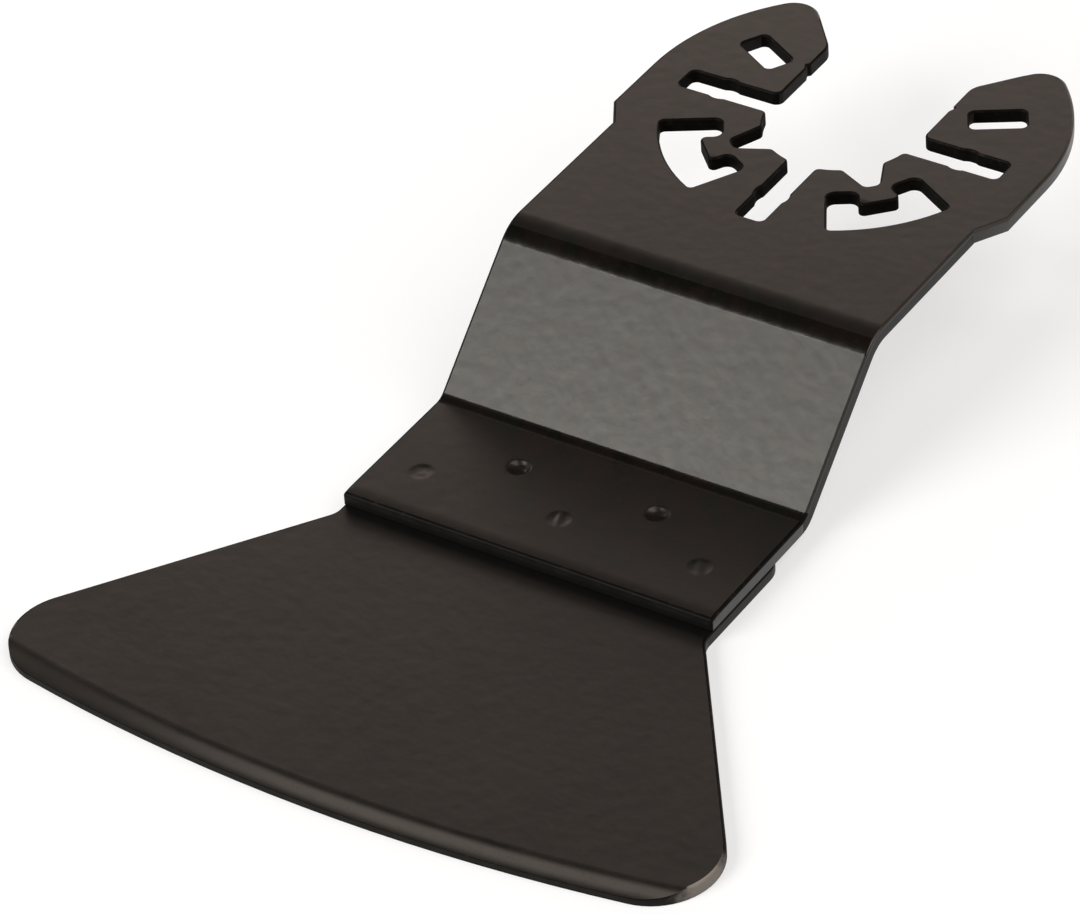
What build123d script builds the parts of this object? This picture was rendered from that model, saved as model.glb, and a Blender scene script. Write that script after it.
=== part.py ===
from build123d import *
from math import asin, atan2, cos, degrees, hypot, radians, sin, sqrt, tan
import os

# Scraper blade for an oscillating multi-tool, in millimetres.
# A flat flared blade is spot-welded under the flange of a Z-bent sheet bracket.
# The origin is the arbor centre, in the top face of the bracket's head.
# +Z points up to the tool, and the blade reaches out along -Y.

overrun = 1.0  # how far every cut runs past the metal

# The bracket's sheet, seen from the side
plate_thickness = 1.0
bracket_width = 28.1
head_reach = 20.1  # arbor centre to the upper bend line
slope_run = 9.45  # between the two bend lines
offset_height = 8.5  # flange's top face to the head's top face
flange_length = 11.55  # lower bend line to the front edge
upper_bend_radius = 2.6  # inside the bend
lower_bend_radius = 1.2

# The bracket's head, seen from above
head_radius = 15.35
head_shift = 0.6  # centre of the round end ahead of the arbor centre
shoulder_setback = 4.7  # arbor centre to the corner where the straight cheeks end
shoulder_drop = 2.2
arbor_radius = 5.45
mouth_relief = 0.15  # room beside the arbor circle in the mouth
mouth_depth = 7.85  # arbor centre to where the mouth starts to flare
flare_angle = 50.0  # from the X axis
tip_radius = 1.9
mouth_corner_radius = 0.6
flare_foot_radius = 1.6

# The twelve-position ring of slots, notches, holes and hooks
position_step = 30.0
ring_radius = 12.45  # arbor centre to the outer end of every slot, hole and hook
slot_width = 2.1
slot_corner_radius = 0.45
detent_setback = 3.1  # slot end back to the small widening for a ball
detent_radius = 1.2
notch_depth = 2.25  # from the arbor circle to the root
notch_root_width = 1.0
notch_root_radius = 0.5
tooth_tip_radius = 0.45
hole_wall = 3.1  # arbor circle to the inner end of each single hole
hook_wall = 2.7  # arbor circle to the inner ends of each hook's arms
hook_web = 1.95  # notch root to the band that joins a hook's arms
hook_corner_radius = 0.6
hook_end_radius = 0.35  # where the arms' outer sides meet the ring
hook_tab_radius = 0.4  # rounds the tab between a hook's arms

# The blade
blade_thickness = 0.9
blade_width = 52.0
blade_reach = 25.6  # flange's front edge to the middle of the cutting edge
tang_length = 9.2  # under the flange
tang_corner_radius = 2.0
flare_start = 0.9  # flange's front edge to where the blade widens
flare_corner_radius = 1.5
corner_radius = 4.4
edge_radius = 131.0  # bow of the cutting edge
bevel_width = 1.45
edge_thickness = 0.5  # left at the cutting edge below the bevel

# The five welds that hold the blade to the flange
weld_radius = 0.9
weld_side_setback = 3.4  # flange's side to the outer welds
weld_front_setback = 4.2  # flange's front edge to the front row
weld_row_pitch = 3.4
weld_dish = 0.3  # depth of the hollow in a weld's top
weld_penetration = 0.4  # into the tang
weld_clearance = 0.02

# Places that follow from the sizes
upper_bend_y = -head_reach
lower_bend_y = upper_bend_y - slope_run
flange_front_y = lower_bend_y - flange_length
flange_top_z = -offset_height
blade_top_z = flange_top_z - plate_thickness
blade_bottom_z = blade_top_z - blade_thickness
half_width = bracket_width / 2
mouth_half = arbor_radius + mouth_relief
slot_half = slot_width / 2
half_step = position_step / 2
diagonal = position_step + half_step

# One hooked hole about the X axis: two radial arms joined by a curved band
notch_root = arbor_radius + notch_depth
hook_inner_radius = arbor_radius + hook_wall
tab_radius = notch_root + hook_web
arm_slope = tan(radians(half_step))
with BuildSketch() as hook:
    with PolarLocations(hook_inner_radius, 2, -half_step, position_step, endpoint=True):
        RectangleRounded(head_radius, slot_width, hook_corner_radius, align=(Align.MIN, Align.CENTER))
    Polygon(
        (tab_radius, -tab_radius * arm_slope),
        (head_radius, -head_radius * arm_slope),
        (head_radius, head_radius * arm_slope),
        (tab_radius, tab_radius * arm_slope),
        align=None,
    )
    Circle(ring_radius, mode=Mode.INTERSECT)
    fillet(hook.vertices().group_by(lambda end: hypot(end.X, end.Y))[-1], hook_end_radius)
    fillet(hook.vertices().sort_by_distance((tab_radius, 0))[:2], hook_tab_radius)

# The bracket's outline from above, with every opening of the head in it
flare_x = mouth_half + head_radius * cos(radians(flare_angle))
flare_y = mouth_depth + head_radius * sin(radians(flare_angle))
tooth_x = arbor_radius * cos(radians(half_step))
tooth_y = arbor_radius * sin(radians(half_step))
hole_length = ring_radius - arbor_radius - hole_wall
half_outline = (
    (head_radius, head_shift),
    (head_radius, -shoulder_setback),
    (half_width, -shoulder_setback - shoulder_drop),
    (half_width, flange_front_y),
)
with BuildSketch(Plane.XY.offset(blade_bottom_z)) as outline:
    with Locations((0, head_shift)):
        Circle(head_radius)
    Polygon(*half_outline, *((-x, y) for x, y in reversed(half_outline)), align=None)
    Rectangle(2 * mouth_half, head_radius, align=(Align.CENTER, Align.MIN), mode=Mode.SUBTRACT)
    Polygon(
        (mouth_half, mouth_depth),
        (flare_x, flare_y),
        (-flare_x, flare_y),
        (-mouth_half, mouth_depth),
        align=None,
        mode=Mode.SUBTRACT,
    )
    fillet(outline.vertices().group_by(Axis.Y)[-1], tip_radius)
    Circle(arbor_radius, mode=Mode.SUBTRACT)
    with PolarLocations(0, 4, diagonal):
        Polygon(
            (0, 0),
            (tooth_x, -tooth_y),
            (notch_root, -notch_root_width / 2),
            (notch_root, notch_root_width / 2),
            (tooth_x, tooth_y),
            align=None,
            mode=Mode.SUBTRACT,
        )
    with PolarLocations(0, 3, 180, 180, endpoint=True):
        RectangleRounded(
            ring_radius,
            slot_width,
            slot_corner_radius,
            align=(Align.MIN, Align.CENTER),
            mode=Mode.SUBTRACT,
        )
    with PolarLocations(ring_radius - detent_setback, 3, 180, 180, endpoint=True):
        Circle(detent_radius, mode=Mode.SUBTRACT)
    hole_radius = ring_radius - hole_length / 2
    with PolarLocations(hole_radius, 2, position_step, 4 * position_step, endpoint=True):
        RectangleRounded(hole_length, slot_width, slot_corner_radius, mode=Mode.SUBTRACT)
    with PolarLocations(0, 2, -diagonal - 3 * position_step, 3 * position_step, endpoint=True):
        add(hook.sketch, mode=Mode.SUBTRACT)
    tooth_tips = outline.vertices().group_by(lambda tip: hypot(tip.X, tip.Y))[0]
    fillet(tooth_tips, tooth_tip_radius)
    root_reach = hypot(notch_root, notch_root_width / 2)
    behind_arbor = outline.vertices().filter_by(lambda corner: corner.Y < 0)
    notch_roots = behind_arbor.group_by(lambda root: abs(hypot(root.X, root.Y) - root_reach))[0]
    fillet(notch_roots, notch_root_radius)
    for side in (-1, 1):
        mouth_corner = (side * mouth_half, slot_half, blade_bottom_z)
        fillet(outline.vertices().sort_by_distance(mouth_corner)[0], mouth_corner_radius)
        mouth_top = (side * mouth_half, mouth_depth, blade_bottom_z)
        fillet(outline.vertices().sort_by_distance(mouth_top)[0], flare_foot_radius)

# Centres of the welds, from the flange's front edge
weld_pitch = (half_width - weld_side_setback) / 2
front_row_y = flange_front_y + weld_front_setback
rear_row_y = front_row_y + weld_row_pitch
weld_places = {
    "weld_front_left": (-2 * weld_pitch, front_row_y),
    "weld_front_middle": (0, front_row_y),
    "weld_front_right": (2 * weld_pitch, front_row_y),
    "weld_rear_left": (-weld_pitch, rear_row_y),
    "weld_rear_right": (weld_pitch, rear_row_y),
}

# The bracket: a bent strip trimmed to its outline, with a hole for each weld
with BuildPart() as mount_bracket:
    with BuildSketch(Plane.YZ):
        with BuildLine():
            FilletPolyline(
                (flange_front_y, flange_top_z),
                (lower_bend_y, flange_top_z),
                (upper_bend_y, 0),
                (head_radius + overrun, 0),
                radius=(lower_bend_radius, upper_bend_radius + plate_thickness),
            )
            offset(amount=plate_thickness, side=Side.RIGHT)
        make_face()
    extrude(amount=head_radius + overrun, both=True)
    extrude(outline.sketch, amount=overrun - blade_bottom_z, mode=Mode.INTERSECT)
    with BuildSketch(Plane.XY.offset(blade_top_z)):
        with Locations(*weld_places.values()):
            Circle(weld_radius + weld_clearance)
    extrude(amount=plate_thickness, mode=Mode.SUBTRACT)
mount_bracket.part.label = "mount_bracket"

# Where the blade's round corner touches the flared side and the cutting edge
edge_y = flange_front_y - blade_reach
edge_centre_y = edge_y + edge_radius
tang_end_y = flange_front_y + tang_length
flare_start_y = flange_front_y - flare_start
corner_x = blade_width / 2 - corner_radius
corner_y = edge_centre_y - sqrt((edge_radius - corner_radius) ** 2 - corner_x**2)
flare_foot = (half_width, flare_start_y)
corner_offset = (corner_x - half_width, corner_y - flare_start_y)
corner_distance = hypot(*corner_offset)
flare_direction = atan2(corner_offset[1], corner_offset[0]) + asin(corner_radius / corner_distance)
flare_length = sqrt(corner_distance**2 - corner_radius**2)
flare_end = (
    half_width + flare_length * cos(flare_direction),
    flare_start_y + flare_length * sin(flare_direction),
)
edge_half_angle = degrees(asin(corner_x / (edge_radius - corner_radius)))

# The blade: a flared blank with a ground bevel and a shallow pocket for each weld
with BuildPart() as scraper_blade:
    with BuildSketch(Plane.XY.offset(blade_bottom_z)) as blank:
        with BuildLine():
            cutting_edge = CenterArc((0, edge_centre_y), edge_radius, 270, edge_half_angle)
            TangentArc(
                flare_end,
                cutting_edge @ 1,
                tangent=(cos(flare_direction), sin(flare_direction)),
            )
            Polyline(flare_end, flare_foot, (half_width, tang_end_y), (0, tang_end_y))
            mirror(about=Plane.YZ)
        make_face()
        fillet(blank.vertices().group_by(Axis.Y)[-1], tang_corner_radius)
        for side in (-1, 1):
            foot = (side * half_width, flare_start_y, blade_bottom_z)
            fillet(blank.vertices().sort_by_distance(foot)[0], flare_corner_radius)
    extrude(amount=blade_thickness)
    bevel_slope = (blade_thickness - edge_thickness) / bevel_width
    with BuildSketch(Plane.YZ):
        Polygon(
            (edge_y + bevel_width, blade_top_z),
            (edge_y - overrun, blade_top_z - bevel_slope * (bevel_width + overrun)),
            (edge_y - overrun, blade_top_z + overrun),
            (edge_y + bevel_width, blade_top_z + overrun),
            align=None,
        )
    revolve(axis=Axis((0, edge_centre_y, 0), (0, 0, 1)), mode=Mode.SUBTRACT)
    with BuildSketch(Plane.XY.offset(blade_top_z - weld_penetration)):
        with Locations(*weld_places.values()):
            Circle(weld_radius + weld_clearance)
    extrude(amount=weld_penetration, mode=Mode.SUBTRACT)
scraper_blade.part.label = "scraper_blade"

os.makedirs("parts", exist_ok=True)
export_step(mount_bracket.part, "parts/mount_bracket.step")
export_step(scraper_blade.part, "parts/scraper_blade.step")

# Each weld: a plug from inside the tang up to the flange's top face, hollowed like a dish
for weld_name, (weld_x, weld_y) in weld_places.items():
    with BuildPart() as weld:
        with BuildSketch(Plane.XZ.offset(-weld_y)):
            with BuildLine():
                Polyline(
                    (weld_x, flange_top_z - weld_dish),
                    (weld_x, blade_top_z - weld_penetration),
                    (weld_x + weld_radius, blade_top_z - weld_penetration),
                    (weld_x + weld_radius, flange_top_z),
                )
                TangentArc(
                    (weld_x, flange_top_z - weld_dish),
                    (weld_x + weld_radius, flange_top_z),
                    tangent=(1, 0),
                )
            make_face()
        revolve(axis=Axis((weld_x, weld_y, 0), (0, 0, 1)))
    weld.part.label = weld_name
    export_step(weld.part, f"parts/{weld_name}.step")
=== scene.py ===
import math

import bmesh
import bpy
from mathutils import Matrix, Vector


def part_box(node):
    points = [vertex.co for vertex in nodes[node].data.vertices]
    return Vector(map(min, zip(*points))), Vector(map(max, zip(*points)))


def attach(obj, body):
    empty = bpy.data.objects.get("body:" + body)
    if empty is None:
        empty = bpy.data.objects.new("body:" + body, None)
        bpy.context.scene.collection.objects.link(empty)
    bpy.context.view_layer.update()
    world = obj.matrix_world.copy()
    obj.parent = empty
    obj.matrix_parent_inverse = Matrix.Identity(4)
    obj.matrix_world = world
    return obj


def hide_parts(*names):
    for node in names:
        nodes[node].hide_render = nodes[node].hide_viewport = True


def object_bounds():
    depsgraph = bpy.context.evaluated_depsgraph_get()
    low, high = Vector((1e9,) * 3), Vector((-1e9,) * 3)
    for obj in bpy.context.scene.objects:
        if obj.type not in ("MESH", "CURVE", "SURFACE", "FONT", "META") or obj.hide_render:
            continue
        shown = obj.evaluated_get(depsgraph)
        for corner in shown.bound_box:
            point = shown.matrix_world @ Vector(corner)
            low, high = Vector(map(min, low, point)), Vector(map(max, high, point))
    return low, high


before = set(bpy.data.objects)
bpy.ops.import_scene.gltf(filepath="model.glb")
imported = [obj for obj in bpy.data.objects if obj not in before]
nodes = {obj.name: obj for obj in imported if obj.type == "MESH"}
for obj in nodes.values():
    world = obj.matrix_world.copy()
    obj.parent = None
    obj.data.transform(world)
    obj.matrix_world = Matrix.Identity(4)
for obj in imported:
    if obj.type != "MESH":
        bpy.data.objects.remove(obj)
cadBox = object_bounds()
mm = 0.001
print("frame loaded:", ", ".join(sorted(nodes)))


class Wire:
    # an output socket; sums on it add Math nodes to its tree
    def __init__(self, paint, socket):
        self.paint, self.socket = paint, socket

    def sum(self, operation, *values):
        settings = {"operation": operation}
        return self.paint.node("ShaderNodeMath", settings, dict(enumerate(values)))

    def __add__(self, other):
        return self.sum("ADD", self, other)

    def __sub__(self, other):
        return self.sum("SUBTRACT", self, other)

    def __rsub__(self, other):
        return self.sum("SUBTRACT", other, self)

    def __mul__(self, other):
        return self.sum("MULTIPLY", self, other)

    def __truediv__(self, other):
        return self.sum("DIVIDE", self, other)

    def __gt__(self, other):
        return self.sum("GREATER_THAN", self, other)

    def toPower(self, other):
        return self.sum("POWER", self, other)

    __radd__ = __add__
    __rmul__ = __mul__


class Paint:
    # a material, world or geometry tree being filled
    def __init__(self, tree):
        self.tree = tree

    def node(self, kind, settings=None, sockets=None, output=0):
        made = self.tree.nodes.new(kind)
        for key, value in (settings or {}).items():
            setattr(made, key, value)
        for key, value in (sockets or {}).items():
            self.feed(pick(made.inputs, key), value)
        return Wire(self, pick(made.outputs, output)) if made.outputs else None

    def feed(self, socket, value):
        if isinstance(value, Wire):
            self.tree.links.new(value.socket, socket)
        else:
            socket.default_value = value

    def noise(self, coords, size, detail=2.0, roughness=0.5):
        # size is the width of one blotch, in metres
        return self.node(
            "ShaderNodeTexNoise",
            {},
            {
                "Vector": coords,
                "Scale": 1 / size,
                "Detail": detail,
                "Roughness": roughness,
            },
        )

    def axis(self, vector, name):
        return self.node("ShaderNodeSeparateXYZ", {}, {"Vector": vector}, name)

    def span(self, value, low, high, outLow=0.0, outHigh=1.0):
        # maps low..high onto outLow..outHigh, held at the ends
        return self.node(
            "ShaderNodeMapRange",
            {"interpolation_type": "SMOOTHSTEP"},
            {0: value, 1: low, 2: high, 3: outLow, 4: outHigh},
        )

    def blend(self, amount, first, second):
        return self.node(
            "ShaderNodeMix",
            {"data_type": "RGBA"},
            {"Factor": amount, "A": first, "B": second},
            "Result",
        )


def pick(sockets, key):
    if isinstance(key, int):
        return sockets[key]
    return next(s for s in sockets if s.name == key and s.enabled)


def newMaterial(name):
    material = bpy.data.materials.new(name)
    material.use_nodes = True
    material.node_tree.nodes.clear()
    return material, Paint(material.node_tree)


def rgba(color):
    return (*color, 1.0)


def coatedSteel(name, look):
    # black coating on steel: nearly black itself, it shows mostly what it reflects
    material, paint = newMaterial(name)
    place = paint.node("ShaderNodeTexCoord", output="Object")
    cloud = paint.noise(place, look["cloudSize"], detail=3.0, roughness=0.55)
    grain = paint.noise(place, look["grainSize"], detail=2.0, roughness=0.6)
    speck = paint.noise(place, look["speckSize"], detail=1.0)
    speck = paint.span(speck, look["speckLow"], look["speckHigh"])
    streakPlace = paint.node(
        "ShaderNodeMapping", {}, {"Vector": place, "Scale": look["streakStretch"]}
    )
    streak = paint.noise(streakPlace, look["streakSize"], detail=4.0, roughness=0.65)
    mottle = paint.noise(place, look["mottleSize"], detail=1.0, roughness=0.35)
    stain = paint.noise(place, look["stainSize"], detail=3.0, roughness=0.6)
    stain = paint.span(stain, look["stainLow"], look["stainHigh"])
    patchy = paint.noise(place, look["wearSize"], detail=3.0, roughness=0.6)
    patchy = (patchy - noiseMiddle) * look["wearPatchy"]
    worn = wornPlaces(paint, place, look) + patchy
    worn = paint.span(worn, look["wearLow"], look["wearHigh"])

    lightness = paint.span(cloud, look["cloudLow"], look["cloudHigh"])
    color = paint.blend(lightness, rgba(look["dark"]), rgba(look["light"]))
    color = paint.blend(stain * look["stainAmount"], color, rgba(look["stainColor"]))
    if look["groundColor"]:
        ground = groundAmount(paint, place, look)
        color = paint.blend(ground, color, rgba(look["groundColor"]))
    color = paint.blend(speck * look["speckAmount"], color, rgba(look["speckColor"]))
    color = paint.blend(worn * look["wearAmount"], color, rgba(look["wearColor"]))
    # painted shade: darker along bands across the sheet, such as the joint between flange
    # and blade
    across = paint.axis(place, look["paintedShadeAxis"])
    paintedShade = bandAmount(paint, across, look["paintedShadeBands"], look["paintedShadeFade"])
    color = paint.blend(paintedShade * look["paintedShadeAmount"], color, rgba(look["paintedShadeColor"]))
    along = paint.axis(place, "Y")
    rubbed = bandAmount(paint, along, look["rubbedBands"], look["rubbedFade"])
    rough = (
        look["roughness"]
        - rubbed * look["rubbedPolish"]
        + (cloud - noiseMiddle) * look["cloudRoughness"]
        + (mottle - noiseMiddle) * look["mottleRoughness"]
        + (grain - noiseMiddle) * look["grainRoughness"]
        + (streak - noiseMiddle) * look["streakRoughness"]
        - worn * look["wearPolish"]
    )
    height = (
        grain * look["grainHeight"]
        + mottle * look["mottleHeight"]
        + speck * look["speckHeight"]
        + cloud * look["cloudHeight"]
        + streak * look["streakHeight"]
    )
    normal = paint.node(
        "ShaderNodeBump", {}, {"Strength": 1.0, "Distance": 1.0, "Height": height}
    )
    shader = paint.node(
        "ShaderNodeBsdfPrincipled",
        {},
        {
            "Base Color": color,
            "Roughness": rough,
            "IOR": look["ior"],
            "Specular IOR Level": look["specular"],
            "Specular Tint": rgba(look["sheenTint"]),
            "Normal": normal,
        },
    )
    paint.node("ShaderNodeOutputMaterial", {}, {"Surface": shader})
    return material


def bandAmount(paint, along, bands, fade):
    # 1 between the two ends of each band, fading out beyond them
    amount = 0.0
    for start, end in bands:
        rise = paint.span(along, start - fade, start)
        amount = amount + rise * paint.span(along, end, end + fade, 1.0, 0.0)
    return amount


def wornPlaces(paint, place, look):
    # the same everywhere, and more round each spot
    amount = look["crestWear"]
    for spot, reach, most in look["wornSpots"]:
        away = paint.node(
            "ShaderNodeVectorMath",
            {"operation": "DISTANCE"},
            {0: place, 1: spot},
            "Value",
        )
        near = paint.span(away, 0.0, reach, most, 0.0)
        amount = near.sum("MAXIMUM", near, amount)
    return amount


def groundAmount(paint, place, look):
    # strongest along the middle of the bevel, weaker towards the -x corner; that fall is
    # painted shade
    across, along = paint.axis(place, "X"), paint.axis(place, "Y")
    reach = across * across + (along - bowY).toPower(2.0)
    inside = bowRadius - reach.toPower(0.5)
    last = look["groundTo"]
    ground = paint.span(inside, last - look["groundFade"], last, 1.0, 0.0)
    ground = ground * paint.span(inside, look["groundFrom"], look["groundFull"])
    fade = paint.span(across, look["fadeFrom"], look["fadeTo"], look["fadeLeast"])
    return ground * fade


noiseMiddle = 0.5  # a noise swings evenly about it
bowRadius = 131.0 * mm  # of the cutting edge
bowY = 64.3 * mm  # and where its centre lies

coating = {
    "dark": (0.0019, 0.0023, 0.0014),
    "light": (0.0034, 0.0040, 0.0027),
    "stainSize": 1.6 * mm,
    "stainLow": 0.42,
    "stainHigh": 0.62,
    "stainAmount": 0.9,
    "stainColor": (0.0060, 0.0036, 0.0034),
    "cloudSize": 9 * mm,
    "cloudLow": 0.35,
    "cloudHigh": 0.65,
    "cloudRoughness": 0.03,
    "cloudHeight": 0.006 * mm,
    "mottleSize": 0.9 * mm,
    "mottleRoughness": 0.08,
    "mottleHeight": 0.012 * mm,
    "grainSize": 0.20 * mm,
    "grainRoughness": 0.06,
    "grainHeight": 0.0012 * mm,
    "groundColor": None,
    "speckSize": 0.30 * mm,
    "speckLow": 0.58,
    "speckHigh": 0.80,
    "speckAmount": 0.30,
    "speckColor": (0.016, 0.015, 0.013),
    "speckHeight": 0.0004 * mm,
    "streakStretch": (1.0, 0.12, 1.0),
    "streakSize": 0.5 * mm,
    "streakRoughness": 0.06,
    "streakHeight": 0.0004 * mm,
    "crestWear": 0.0,
    "wornSpots": (),
    "wearSize": 0.8 * mm,
    "wearPatchy": 0.8,
    "wearLow": 0.30,
    "wearHigh": 1.0,
    "wearAmount": 0.9,
    "wearColor": (0.27, 0.255, 0.235),
    "wearPolish": 0.08,
    "paintedShadeAxis": "Y",
    "paintedShadeBands": (),
    "paintedShadeFade": 2.4 * mm,
    "paintedShadeAmount": 0.95,
    "paintedShadeColor": (0.0002, 0.0002, 0.0002),
    "rubbedBands": (),
    "rubbedFade": 0.05 * mm,
    "rubbedPolish": 0.18,
    "roughness": 0.35,
    "ior": 1.55,
    "specular": 0.5,
    "sheenTint": (1.0, 0.985, 0.96),
}
# the press tool has rubbed the coating smoother over the two bends
bracketCoating = dict(
    coating,
    rubbedBands=((-21.12 * mm, -20.1 * mm), (-29.95 * mm, -29.25 * mm)),
)
# painted shade darkens the blade in the corner in front of the flange
bladeCoating = dict(
    coating,
    paintedShadeBands=((-41.7 * mm, -41.0 * mm),),
    roughness=0.36,
    mottleHeight=0.017 * mm,
    streakStretch=(0.15, 1.0, 1.0),
)
# punched and sheared walls: rough, with little gloss left
shearedWall = dict(
    coating,
    # the blade's corners are worn bright: where, how far, how much
    wornSpots=(
        ((25.9 * mm, -61.2 * mm, -10.0 * mm), 4.2 * mm, 1.1),
        ((-25.6 * mm, -61.9 * mm, -10.0 * mm), 2.5 * mm, 0.6),
    ),
    cloudSize=1.5 * mm,
    streakStretch=(1.0, 1.0, 0.1),
    streakSize=0.2 * mm,
    streakHeight=0.003 * mm,
    dark=(0.0022, 0.0018, 0.0015),
    light=(0.0060, 0.0050, 0.0044),
    stainAmount=0.0,
    mottleHeight=0.0,
    roughness=0.62,
    specular=0.14,
)
# the flange's sheared front is torn in its lower half; the darkening towards its foot,
# where it meets the blade, is painted shade
wallShadedAtFoot = dict(
    shearedWall,
    paintedShadeAxis="Z",
    paintedShadeBands=((-9.52 * mm, -9.2 * mm),),
    paintedShadeFade=0.2 * mm,
)
# painted shade: holes and slots, whose walls face one another, get a blacker coating
# colour and little gloss; the side walls and rounded edges below take the same blacker
# colour
paintedShadeBlack = dict(
    shearedWall, dark=(0.0014, 0.0012, 0.0010), light=(0.0030, 0.0026, 0.0022)
)
piercedWall = dict(paintedShadeBlack, specular=0.03, roughness=0.7)
sideWall = dict(paintedShadeBlack, specular=0.19, roughness=0.45)
roundedEdge = dict(
    paintedShadeBlack, specular=0.06, roughness=0.5, streakHeight=0.0, crestWear=0.24
)
# the bevel is ground before coating, with lines along the cutting edge
groundBevel = dict(
    coating,
    groundColor=(0.066, 0.061, 0.056),
    groundFrom=-0.05 * mm,  # in from the cutting edge
    groundFull=0.65 * mm,
    groundTo=1.35 * mm,
    groundFade=0.5 * mm,
    # painted shade: the ground colour is weaker towards the -x corner
    fadeFrom=-21.0 * mm,
    fadeTo=4.0 * mm,
    fadeLeast=0.15,
    streakStretch=(0.06, 1.0, 1.0),
    streakSize=0.22 * mm,
    streakRoughness=0.2,
    streakHeight=0.002 * mm,
    roughness=0.42,
)
weldSteel = dict(
    coating,
    cloudSize=0.9 * mm,
    cloudHeight=0.004 * mm,
    mottleHeight=0.006 * mm,
    speckAmount=0.0,
    roughness=0.33,
)
bracketPaint = coatedSteel("black_coated_bracket", bracketCoating)
bladePaint = coatedSteel("black_coated_blade", bladeCoating)
wallPaint = coatedSteel("coated_sheared_walls", shearedWall)
footShadedWallPaint = coatedSteel("coated_walls_painted_shade_at_foot", wallShadedAtFoot)
holePaint = coatedSteel("coated_pierced_walls", piercedWall)
sidePaint = coatedSteel("coated_side_walls", sideWall)
edgePaint = coatedSteel("coated_rounded_edges", roundedEdge)
bevelPaint = coatedSteel("coated_ground_bevel", groundBevel)
weldPaint = coatedSteel("coated_weld_marks", weldSteel)
print("materials made")


def mergedSolid(nodeName, shape):
    # the CAD mesh is loose triangles: weld them and clear the lines inside flat faces
    solid = bmesh.new()
    solid.from_mesh(nodes[nodeName].data)
    bmesh.ops.remove_doubles(solid, verts=solid.verts, dist=shape["mergeReach"])
    flat = math.radians(shape["flatAngle"])
    bmesh.ops.dissolve_limit(
        solid, angle_limit=flat, verts=solid.verts, edges=solid.edges
    )
    solid.normal_update()
    return solid


def rollFront(solid, shape):
    # the shear that cut the flange pulled its front edge down a little
    start, front = shape["rollY"], shape["frontY"]
    step = (front - start) / shape["rollCuts"]
    cuts = [shape["slopeY"], shape["neckY"]]
    cuts += [start + step * k for k in range(shape["rollCuts"])]
    for y in cuts:
        bmesh.ops.bisect_plane(
            solid,
            geom=solid.verts[:] + solid.edges[:] + solid.faces[:],
            plane_co=(0.0, y, 0.0),
            plane_no=(0.0, 1.0, 0.0),
            dist=shape["mergeReach"],
        )
    for vert in solid.verts:
        if vert.co.y < start and vert.co.z > shape["frontZ"]:
            share = (start - vert.co.y) / (start - front)
            vert.co.z -= shape["rollDrop"] * share**2
    solid.normal_update()


def isCorner(edge, smallest):
    return len(edge.link_faces) == 2 and edge.calc_face_angle() > math.radians(smallest)


def creaseCorners(solid, shape):
    for edge in solid.edges:
        edge.smooth = not isCorner(edge, shape["creaseAngle"])


def middleOf(edge):
    return (edge.verts[0].co + edge.verts[1].co) / 2


def nearWeld(edge, reach):
    return any((middleOf(edge).xy - spot).length < reach for spot in weldSpots)


# the order of a sheet's paints
coated, sheared, rounded, pierced, side, bevel = range(6)


def finishOf(face, shape):
    normal, middle = face.normal, face.calc_center_median()
    if abs(normal.z) > shape["levelFrom"]:
        tilted = shape["bevelLow"] < normal.z < shape["bevelHigh"]
        return bevel if tilted and middle.y < shape["bevelY"] else coated
    sideways = abs(normal.x)
    if middle.xy.length < shape["ringReach"]:
        inMouth = sideways > shape["mouthSideways"] and middle.y > shape["mouthY"]
        return sheared if inMouth else pierced
    outer = abs(middle.x) > shape["outerX"] and middle.y > shape["flangeY"]
    if outer and sideways > shape["outerSideways"]:
        return side if shape["darkFrom"] < middle.y < shape["darkTo"] else coated
    return sheared


def rimRadius(edge, shape):
    # how far an edge of the sheet is rounded
    kinds = {face.material_index for face in edge.link_faces}
    if kinds == {coated, bevel}:
        return shape["creaseRadius"]
    if not isCorner(edge, shape["cornerAngle"]) or nearWeld(edge, shape["weldReach"]):
        return 0.0
    middle = middleOf(edge)
    along = (edge.verts[0].co - edge.verts[1].co).normalized()
    if abs(along.z) > shape["uprightFrom"]:
        return shape["cornerRadius"]
    if max(face.normal.z for face in edge.link_faces) < shape["levelFrom"]:
        return shape["burrRadius"]
    atFront = abs(middle.y - shape["frontY"]) < shape["frontReach"]
    if atFront and abs(along.y) < shape["frontSkew"]:
        return shape["frontRadius"]
    inRing = middle.xy.length < shape["ringReach"]
    if pierced in kinds or (sheared in kinds and inRing):
        return shape["holeRadius"]
    if bevel in kinds:
        return shape["cuttingRadius"]
    return shape["outlineRadius"]


def sheetPiece(name, nodeName, paints, shape):
    solid = mergedSolid(nodeName, shape)
    if shape["rollDrop"]:
        rollFront(solid, shape)
    weight = solid.edges.layers.float.new("bevel_weight_edge")
    for face in solid.faces:
        face.material_index = finishOf(face, shape)
    for edge in solid.edges:
        edge[weight] = rimRadius(edge, shape) / shape["outlineRadius"]
    mesh = bpy.data.meshes.new(name)
    solid.to_mesh(mesh)
    solid.free()
    for paint in paints:
        mesh.materials.append(paint)
    piece = bpy.data.objects.new(name, mesh)
    bpy.context.scene.collection.objects.link(piece)
    rounding = piece.modifiers.new("roundedEdges", "BEVEL")
    rounding.limit_method = "WEIGHT"
    rounding.width = shape["outlineRadius"]
    rounding.segments = shape["edgeSteps"]
    rounding.use_clamp_overlap = False
    rounding.material = rounded
    applyModifiers(piece)
    smoothFaces(piece, shape)
    print(name, len(piece.data.polygons), "faces")
    return piece


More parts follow.
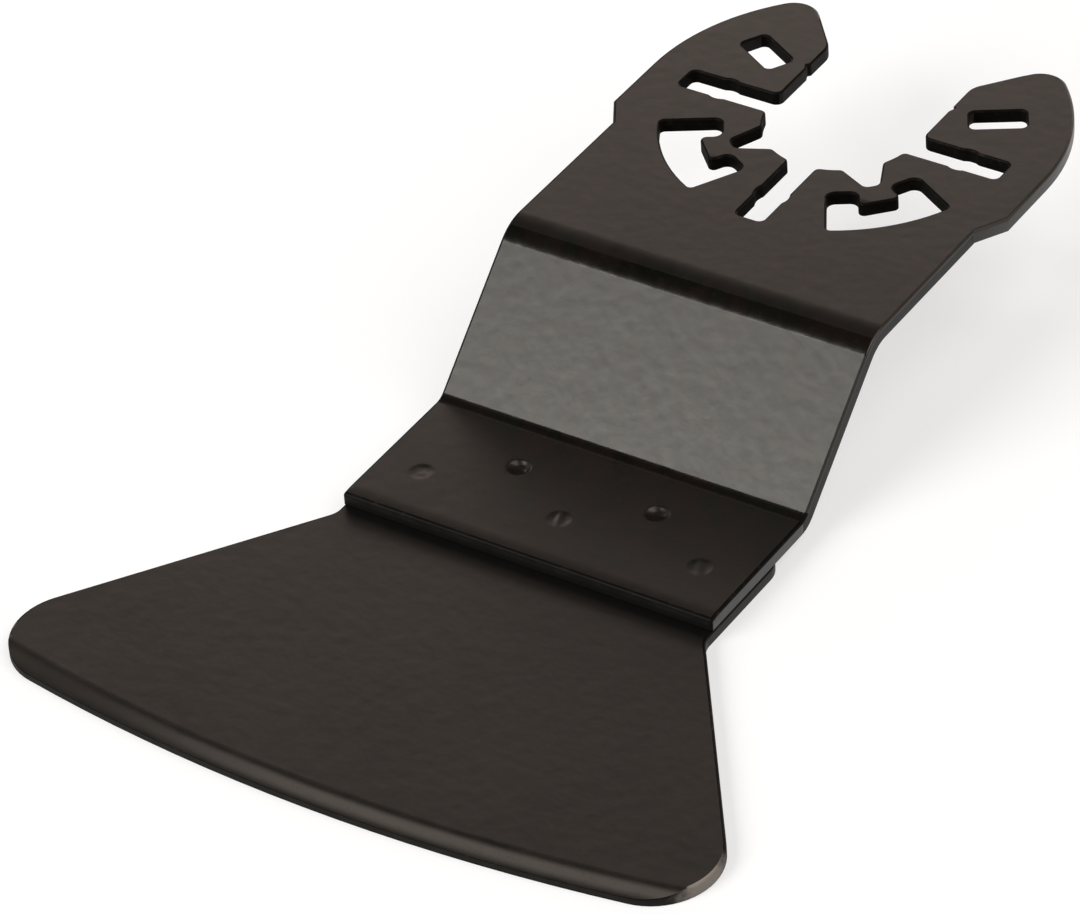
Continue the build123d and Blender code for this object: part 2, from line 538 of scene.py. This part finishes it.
def smoothFaces(piece, shape):
    # smooth shading with true flats; the crease is ground like the bevel, and the rim
    # of the +x side above the flange is painted light: it takes the flats' coating, as
    # light as its wall
    solid = bmesh.new()
    solid.from_mesh(piece.data)
    bowMiddle = Vector((0.0, bowY))
    for face in solid.faces:
        face.smooth = True
        if face.material_index != rounded:
            continue
        middle = face.calc_center_median().xy
        inside = bowRadius - (middle - bowMiddle).length
        inBand = shape["creaseFrom"] < inside < shape["creaseTo"]
        above = middle.y > shape["lightFrom"] and middle.length > shape["ringReach"]
        if inBand and middle.y < shape["bevelY"]:
            if face.normal.z > shape["bevelLow"]:
                face.material_index = bevel
        elif above and face.normal.x > shape["lightSideways"]:
            face.material_index = coated
    creaseCorners(solid, shape)
    solid.to_mesh(piece.data)
    solid.free()
    level = piece.modifiers.new("flatFaces", "WEIGHTED_NORMAL")
    level.keep_sharp = True
    applyModifiers(piece)


def applyModifiers(piece):
    graph = bpy.context.evaluated_depsgraph_get()
    made = bpy.data.meshes.new_from_object(piece.evaluated_get(graph))
    piece.modifiers.clear()
    piece.data = made
    made.name = piece.name


weldNodes = sorted(n for n in nodes if n.startswith("weld_"))
weldSpots = []
for weldNode in weldNodes:
    low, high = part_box(weldNode)
    weldSpots.append(((low + high) / 2).xy)

sheet = {
    "outlineRadius": 0.20 * mm,  # the punch rolls the upper edge over
    "frontRadius": 0.18 * mm,
    "holeRadius": 0.14 * mm,
    "cornerRadius": 0.12 * mm,
    "burrRadius": 0.05 * mm,
    "cuttingRadius": 0.04 * mm,
    "creaseRadius": 0.20 * mm,
    "edgeSteps": 3,
    "mergeReach": 0.001 * mm,
    "flatAngle": 0.4,  # degrees
    "cornerAngle": 40,  # gentler edges are facets of a curve
    "creaseAngle": 40,
    "weldReach": 1.5 * mm,  # no rim is rounded this near a weld
    "levelFrom": 0.5,  # from here a normal's z says top or underside, not wall
    "uprightFrom": 0.95,
    "bevelLow": 0.93,
    "bevelHigh": 0.99,
    "bevelY": -55.0 * mm,
    "creaseFrom": 1.2 * mm,  # in from the cutting edge
    "creaseTo": 1.7 * mm,
    "ringReach": 13.0 * mm,
    "mouthY": 1.2 * mm,
    "mouthSideways": 0.75,
    "outerX": 13.0 * mm,
    "outerSideways": 0.3,
    "neckY": -7.0 * mm,
    "slopeY": -29.8 * mm,
    "flangeY": -42.0 * mm,
    "darkFrom": -29.8 * mm,  # painted shade: the outer side walls are darker between these two, with a darker, less glossy copy of the coating
    "darkTo": -7.0 * mm,
    "lightFrom": -29.1 * mm,  # above the lower bend the +x side's rims are painted light
    "lightSideways": 0.1,
    "frontY": -41.1 * mm,
    "frontZ": -8.6 * mm,
    "frontReach": 0.02 * mm,
    "frontSkew": 0.01,
    "rollY": -40.05 * mm,
    "rollDrop": 0.09 * mm,
    "rollCuts": 5,
}
bladeShape = dict(sheet, rollDrop=0.0, darkFrom=sheet["flangeY"])
bracketPaints = (bracketPaint, footShadedWallPaint, edgePaint, holePaint, sidePaint)
bracket = sheetPiece("bracket", "mount_bracket", bracketPaints, sheet)
bladePaints = (bladePaint, wallPaint, edgePaint, holePaint, sidePaint, bevelPaint)
blade = sheetPiece("blade", "scraper_blade", bladePaints, bladeShape)


weld = {
    "radius": 0.925 * mm,
    "seat": 0.004 * mm,  # how far the rim lies under the flange's face
    "sides": 48,
    "rings": 14,
    "uneven": 0.06 * mm,
    "unevenSize": 0.8 * mm,
    "ridgeWidth": 0.45,  # of the radius
    "seed": 4,
    "seedStep": 1.7,
}
# each mark: depth of the hollow in mm, how much deeper its back is, how high the ridge
# that splits it in two stands, and which way its back looks, in degrees from +x
weldShapes = {
    "weld_front_left": (0.035, 0.9, 0.0, 122),
    "weld_front_middle": (0.075, 0.7, 0.9, 112),
    "weld_front_right": (0.065, 0.7, 0.8, 124),
    "weld_rear_left": (0.25, 0.9, 0.0, 66),
    "weld_rear_right": (0.22, 0.9, 0.0, 104),
}


def weldTree():
    # a plug on each spot, its top pressed in by the spot's own traits
    tree = bpy.data.node_groups.new("weld_marks", "GeometryNodeTree")
    face = tree.interface
    face.new_socket("Spots", in_out="INPUT", socket_type="NodeSocketGeometry")
    for name in ("Radius", "Depth", "Seat", "Uneven", "Uneven Size", "Ridge Width"):
        face.new_socket(name, in_out="INPUT", socket_type="NodeSocketFloat")
    for name in ("Sides", "Rings", "Seed"):
        face.new_socket(name, in_out="INPUT", socket_type="NodeSocketInt")
    face.new_socket("Paint", in_out="INPUT", socket_type="NodeSocketMaterial")
    face.new_socket("Marks", in_out="OUTPUT", socket_type="NodeSocketGeometry")
    paint = Paint(tree)
    given = tree.nodes.new("NodeGroupInput")

    def size(name):
        return Wire(paint, given.outputs[name])

    def saved(name):
        return paint.node(
            "GeometryNodeInputNamedAttribute",
            {"data_type": "FLOAT"},
            {"Name": name},
            "Attribute",
        )

    def store(shape, name, value):
        return paint.node(
            "GeometryNodeStoreNamedAttribute",
            {"data_type": "FLOAT", "domain": "POINT"},
            {"Geometry": shape, "Name": name, "Value": value},
            "Geometry",
        )

    plug = paint.node(
        "GeometryNodeMeshCylinder",
        {"fill_type": "NGON"},
        {
            "Vertices": size("Sides"),
            "Fill Segments": size("Rings"),
            "Radius": size("Radius"),
            "Depth": size("Depth"),
        },
        "Mesh",
    )
    place = paint.node("GeometryNodeInputPosition")
    along, across, height = (paint.axis(place, name) for name in "XYZ")
    plug = store(plug, "along", along / size("Radius"))
    plug = store(plug, "across", across / size("Radius"))
    plug = store(plug, "top", height > 0.0)
    turn = paint.node("ShaderNodeCombineXYZ", {}, {"Z": saved("turn")})
    marks = paint.node(
        "GeometryNodeInstanceOnPoints",
        {},
        {"Points": size("Spots"), "Instance": plug, "Rotation": turn},
        "Instances",
    )
    marks = paint.node("GeometryNodeRealizeInstances", {}, {"Geometry": marks})

    along, across = saved("along"), saved("across")
    hollow = paint.span(along * along + across * across, 0.0, 1.0, 1.0, 0.0)
    hollow = hollow * (1 + along * saved("lean"))
    beside = across.sum("ABSOLUTE", across)
    split = paint.span(beside, 0.0, size("Ridge Width"), 1.0, 0.0)
    hollow = hollow * (1 - split * saved("ridge"))
    rough = paint.node(
        "ShaderNodeTexNoise",
        {"noise_dimensions": "4D"},
        {
            "Vector": place,
            "W": size("Seed") * weld["seedStep"],
            "Scale": size("Uneven Size").toPower(-1.0),
            "Detail": 2.0,
        },
    )
    lift = (rough - noiseMiddle) * hollow * size("Uneven")
    lift = (lift - hollow * saved("depth") - size("Seat")) * saved("top")
    move = paint.node("ShaderNodeCombineXYZ", {}, {"Z": lift})
    marks = paint.node(
        "GeometryNodeSetPosition", {}, {"Geometry": marks, "Offset": move}
    )
    marks = paint.node(
        "GeometryNodeSetShadeSmooth", {}, {"Geometry": marks, "Shade Smooth": True}
    )
    marks = paint.node(
        "GeometryNodeSetMaterial", {}, {"Geometry": marks, "Material": size("Paint")}
    )
    paint.node("NodeGroupOutput", {}, {"Marks": marks})
    return tree


def weldMarks():
    low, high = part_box(weldNodes[0])
    middle = (low.z + high.z) / 2
    mesh = bpy.data.meshes.new("weld_marks")
    mesh.from_pydata([(s.x, s.y, middle) for s in weldSpots], [], [])
    traits = [weldShapes[name] for name in weldNodes]
    depths, leans, ridges, turns = zip(*traits)
    for name, values in (
        ("depth", [depth * mm for depth in depths]),
        ("lean", leans),
        ("ridge", ridges),
        ("turn", [math.radians(turn) for turn in turns]),
    ):
        mesh.attributes.new(name, "FLOAT", "POINT").data.foreach_set("value", values)
    piece = bpy.data.objects.new("weld_marks", mesh)
    bpy.context.scene.collection.objects.link(piece)
    tree = weldTree()
    grown = piece.modifiers.new("marks", "NODES")
    grown.node_group = tree
    sizes = {
        "Radius": weld["radius"],
        "Depth": high.z - low.z,
        "Seat": weld["seat"],
        "Uneven": weld["uneven"],
        "Uneven Size": weld["unevenSize"],
        "Ridge Width": weld["ridgeWidth"],
        "Sides": weld["sides"],
        "Rings": weld["rings"],
        "Seed": weld["seed"],
        "Paint": weldPaint,
    }
    for item in tree.interface.items_tree:
        if item.in_out == "INPUT" and item.name in sizes:
            grown[item.identifier] = sizes[item.name]
    applyModifiers(piece)
    solid = bmesh.new()
    solid.from_mesh(piece.data)
    creaseCorners(solid, sheet)
    solid.to_mesh(piece.data)
    solid.free()
    print("weld_marks", len(piece.data.polygons), "faces")
    return piece


welds = weldMarks()

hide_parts("mount_bracket")
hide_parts("scraper_blade")
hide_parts(*weldNodes)
for piece, slotName in (
    (bracket, "bracket_coating"),
    (blade, "blade_coating"),
    (welds, "weld_mark"),
):
    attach(piece, "root")
print("pieces in place")


studio = {
    "floorSize": 8.0,
    "floorGap": 0.02 * mm,
    "floorColor": (0.455, 0.475, 0.50),
    "floorGlow": 0.57,
    "panelLight": 2.5,  # a bright panel stands behind the object
    "panelLeft": 147,  # degrees from +x round to +y
    "panelRight": 85,
    "panelSide": 20,
    "panelFrom": 11,  # degrees above the horizon
    "panelTo": 25,
    "panelFade": 5,
    "hazeLight": 0.38,  # above the panel the light dies away
    "hazeTo": 66,
    "ceiling": 0.03,
    "wallColor": (1.0, 0.84, 0.748),
}
lamps = {
    # name: direction it comes from, strength, angle across, colour
    "key_front_left": ((-0.40, -0.76, 0.51), 2.8, 38, (1.0, 0.98, 0.93)),
    "fill_right": ((0.62, 0.10, 0.78), 1.35, 60, (1.0, 0.91, 0.83)),
}


def makeFloor():
    half = studio["floorSize"] / 2
    ground = cadBox[0].z - studio["floorGap"]
    mesh = bpy.data.meshes.new("floor")
    corners = [(-half, -half, ground), (half, -half, ground)]
    corners += [(half, half, ground), (-half, half, ground)]
    mesh.from_pydata(corners, [], [(0, 1, 2, 3)])
    floor = bpy.data.objects.new("floor", mesh)
    bpy.context.scene.collection.objects.link(floor)
    material, paint = newMaterial("pale_floor")
    diffuse = paint.node(
        "ShaderNodeBsdfDiffuse", {}, {"Color": rgba(studio["floorColor"])}
    )
    rays = paint.node("ShaderNodeLightPath", output="Is Camera Ray")
    for kind in ("Is Glossy Ray", "Is Transmission Ray"):
        rays = rays + paint.node("ShaderNodeLightPath", output=kind)
    glow = paint.node(
        "ShaderNodeEmission", {}, {"Strength": rays * studio["floorGlow"]}
    )
    lit = paint.node("ShaderNodeAddShader", {}, {0: diffuse, 1: glow})
    # seen from below the floor is clear, so the underside can be looked at
    under = paint.node("ShaderNodeNewGeometry", output="Backfacing")
    clear = paint.node("ShaderNodeBsdfTransparent")
    shader = paint.node("ShaderNodeMixShader", {}, {0: under, 1: lit, 2: clear})
    paint.node("ShaderNodeOutputMaterial", {}, {"Surface": shader})
    mesh.materials.append(material)


def makeWorld():
    world = bpy.data.worlds.new("studio")
    world.use_nodes = True
    world.node_tree.nodes.clear()
    paint = Paint(world.node_tree)
    way = paint.node("ShaderNodeTexCoord", output="Generated")
    across, along, up = (paint.axis(way, name) for name in "XYZ")

    def rise(angle):
        return math.sin(math.radians(angle))

    foot, top, fade = studio["panelFrom"], studio["panelTo"], studio["panelFade"] / 2
    panel = paint.span(up, rise(foot - fade), rise(foot + fade))
    panel = panel - paint.span(up, rise(top - fade), rise(top + fade))
    bearing = along.sum("ARCTAN2", along, across)
    left, right = math.radians(studio["panelLeft"]), math.radians(studio["panelRight"])
    side = math.radians(studio["panelSide"]) / 2
    panel = panel * paint.span(bearing, right - side, right + side)
    panel = panel * paint.span(bearing, left - side, left + side, 1.0, 0.0)
    haze = paint.span(
        up, rise(top), rise(studio["hazeTo"]), studio["hazeLight"], studio["ceiling"]
    )
    strength = panel * studio["panelLight"] + haze
    light = paint.node(
        "ShaderNodeBackground",
        {},
        {"Color": rgba(studio["wallColor"]), "Strength": strength},
    )
    paint.node("ShaderNodeOutputWorld", {}, {"Surface": light})
    bpy.context.scene.world = world


def makeLamps():
    for name, (direction, strength, angle, color) in lamps.items():
        lamp = bpy.data.lights.new(name, "SUN")
        lamp.energy = strength
        lamp.angle = math.radians(angle)
        lamp.color = color
        holder = bpy.data.objects.new(name, lamp)
        holder.rotation_euler = Vector(direction).to_track_quat("Z", "Y").to_euler()
        bpy.context.scene.collection.objects.link(holder)


shot = {
    "place": (0.17445289, -0.28603363, 0.22694662),
    "turn": (52.7796, 3.5684, 32.46655),
    "lens": 198.764,
    "sensor": 36.0,
    "nearest": 0.01,
    "farthest": 100.0,
}


def makeCamera():
    data = bpy.data.cameras.new("camera")
    data.sensor_fit = "HORIZONTAL"
    data.sensor_width = shot["sensor"]
    data.lens = shot["lens"]
    data.clip_start, data.clip_end = shot["nearest"], shot["farthest"]
    camera = bpy.data.objects.new("camera", data)
    camera.location = shot["place"]
    camera.rotation_euler = [math.radians(a) for a in shot["turn"]]
    bpy.context.scene.collection.objects.link(camera)
    bpy.context.scene.camera = camera


makeFloor()
makeWorld()
makeLamps()
makeCamera()
bpy.context.scene.view_settings.view_transform = "Standard"
print("studio ready")
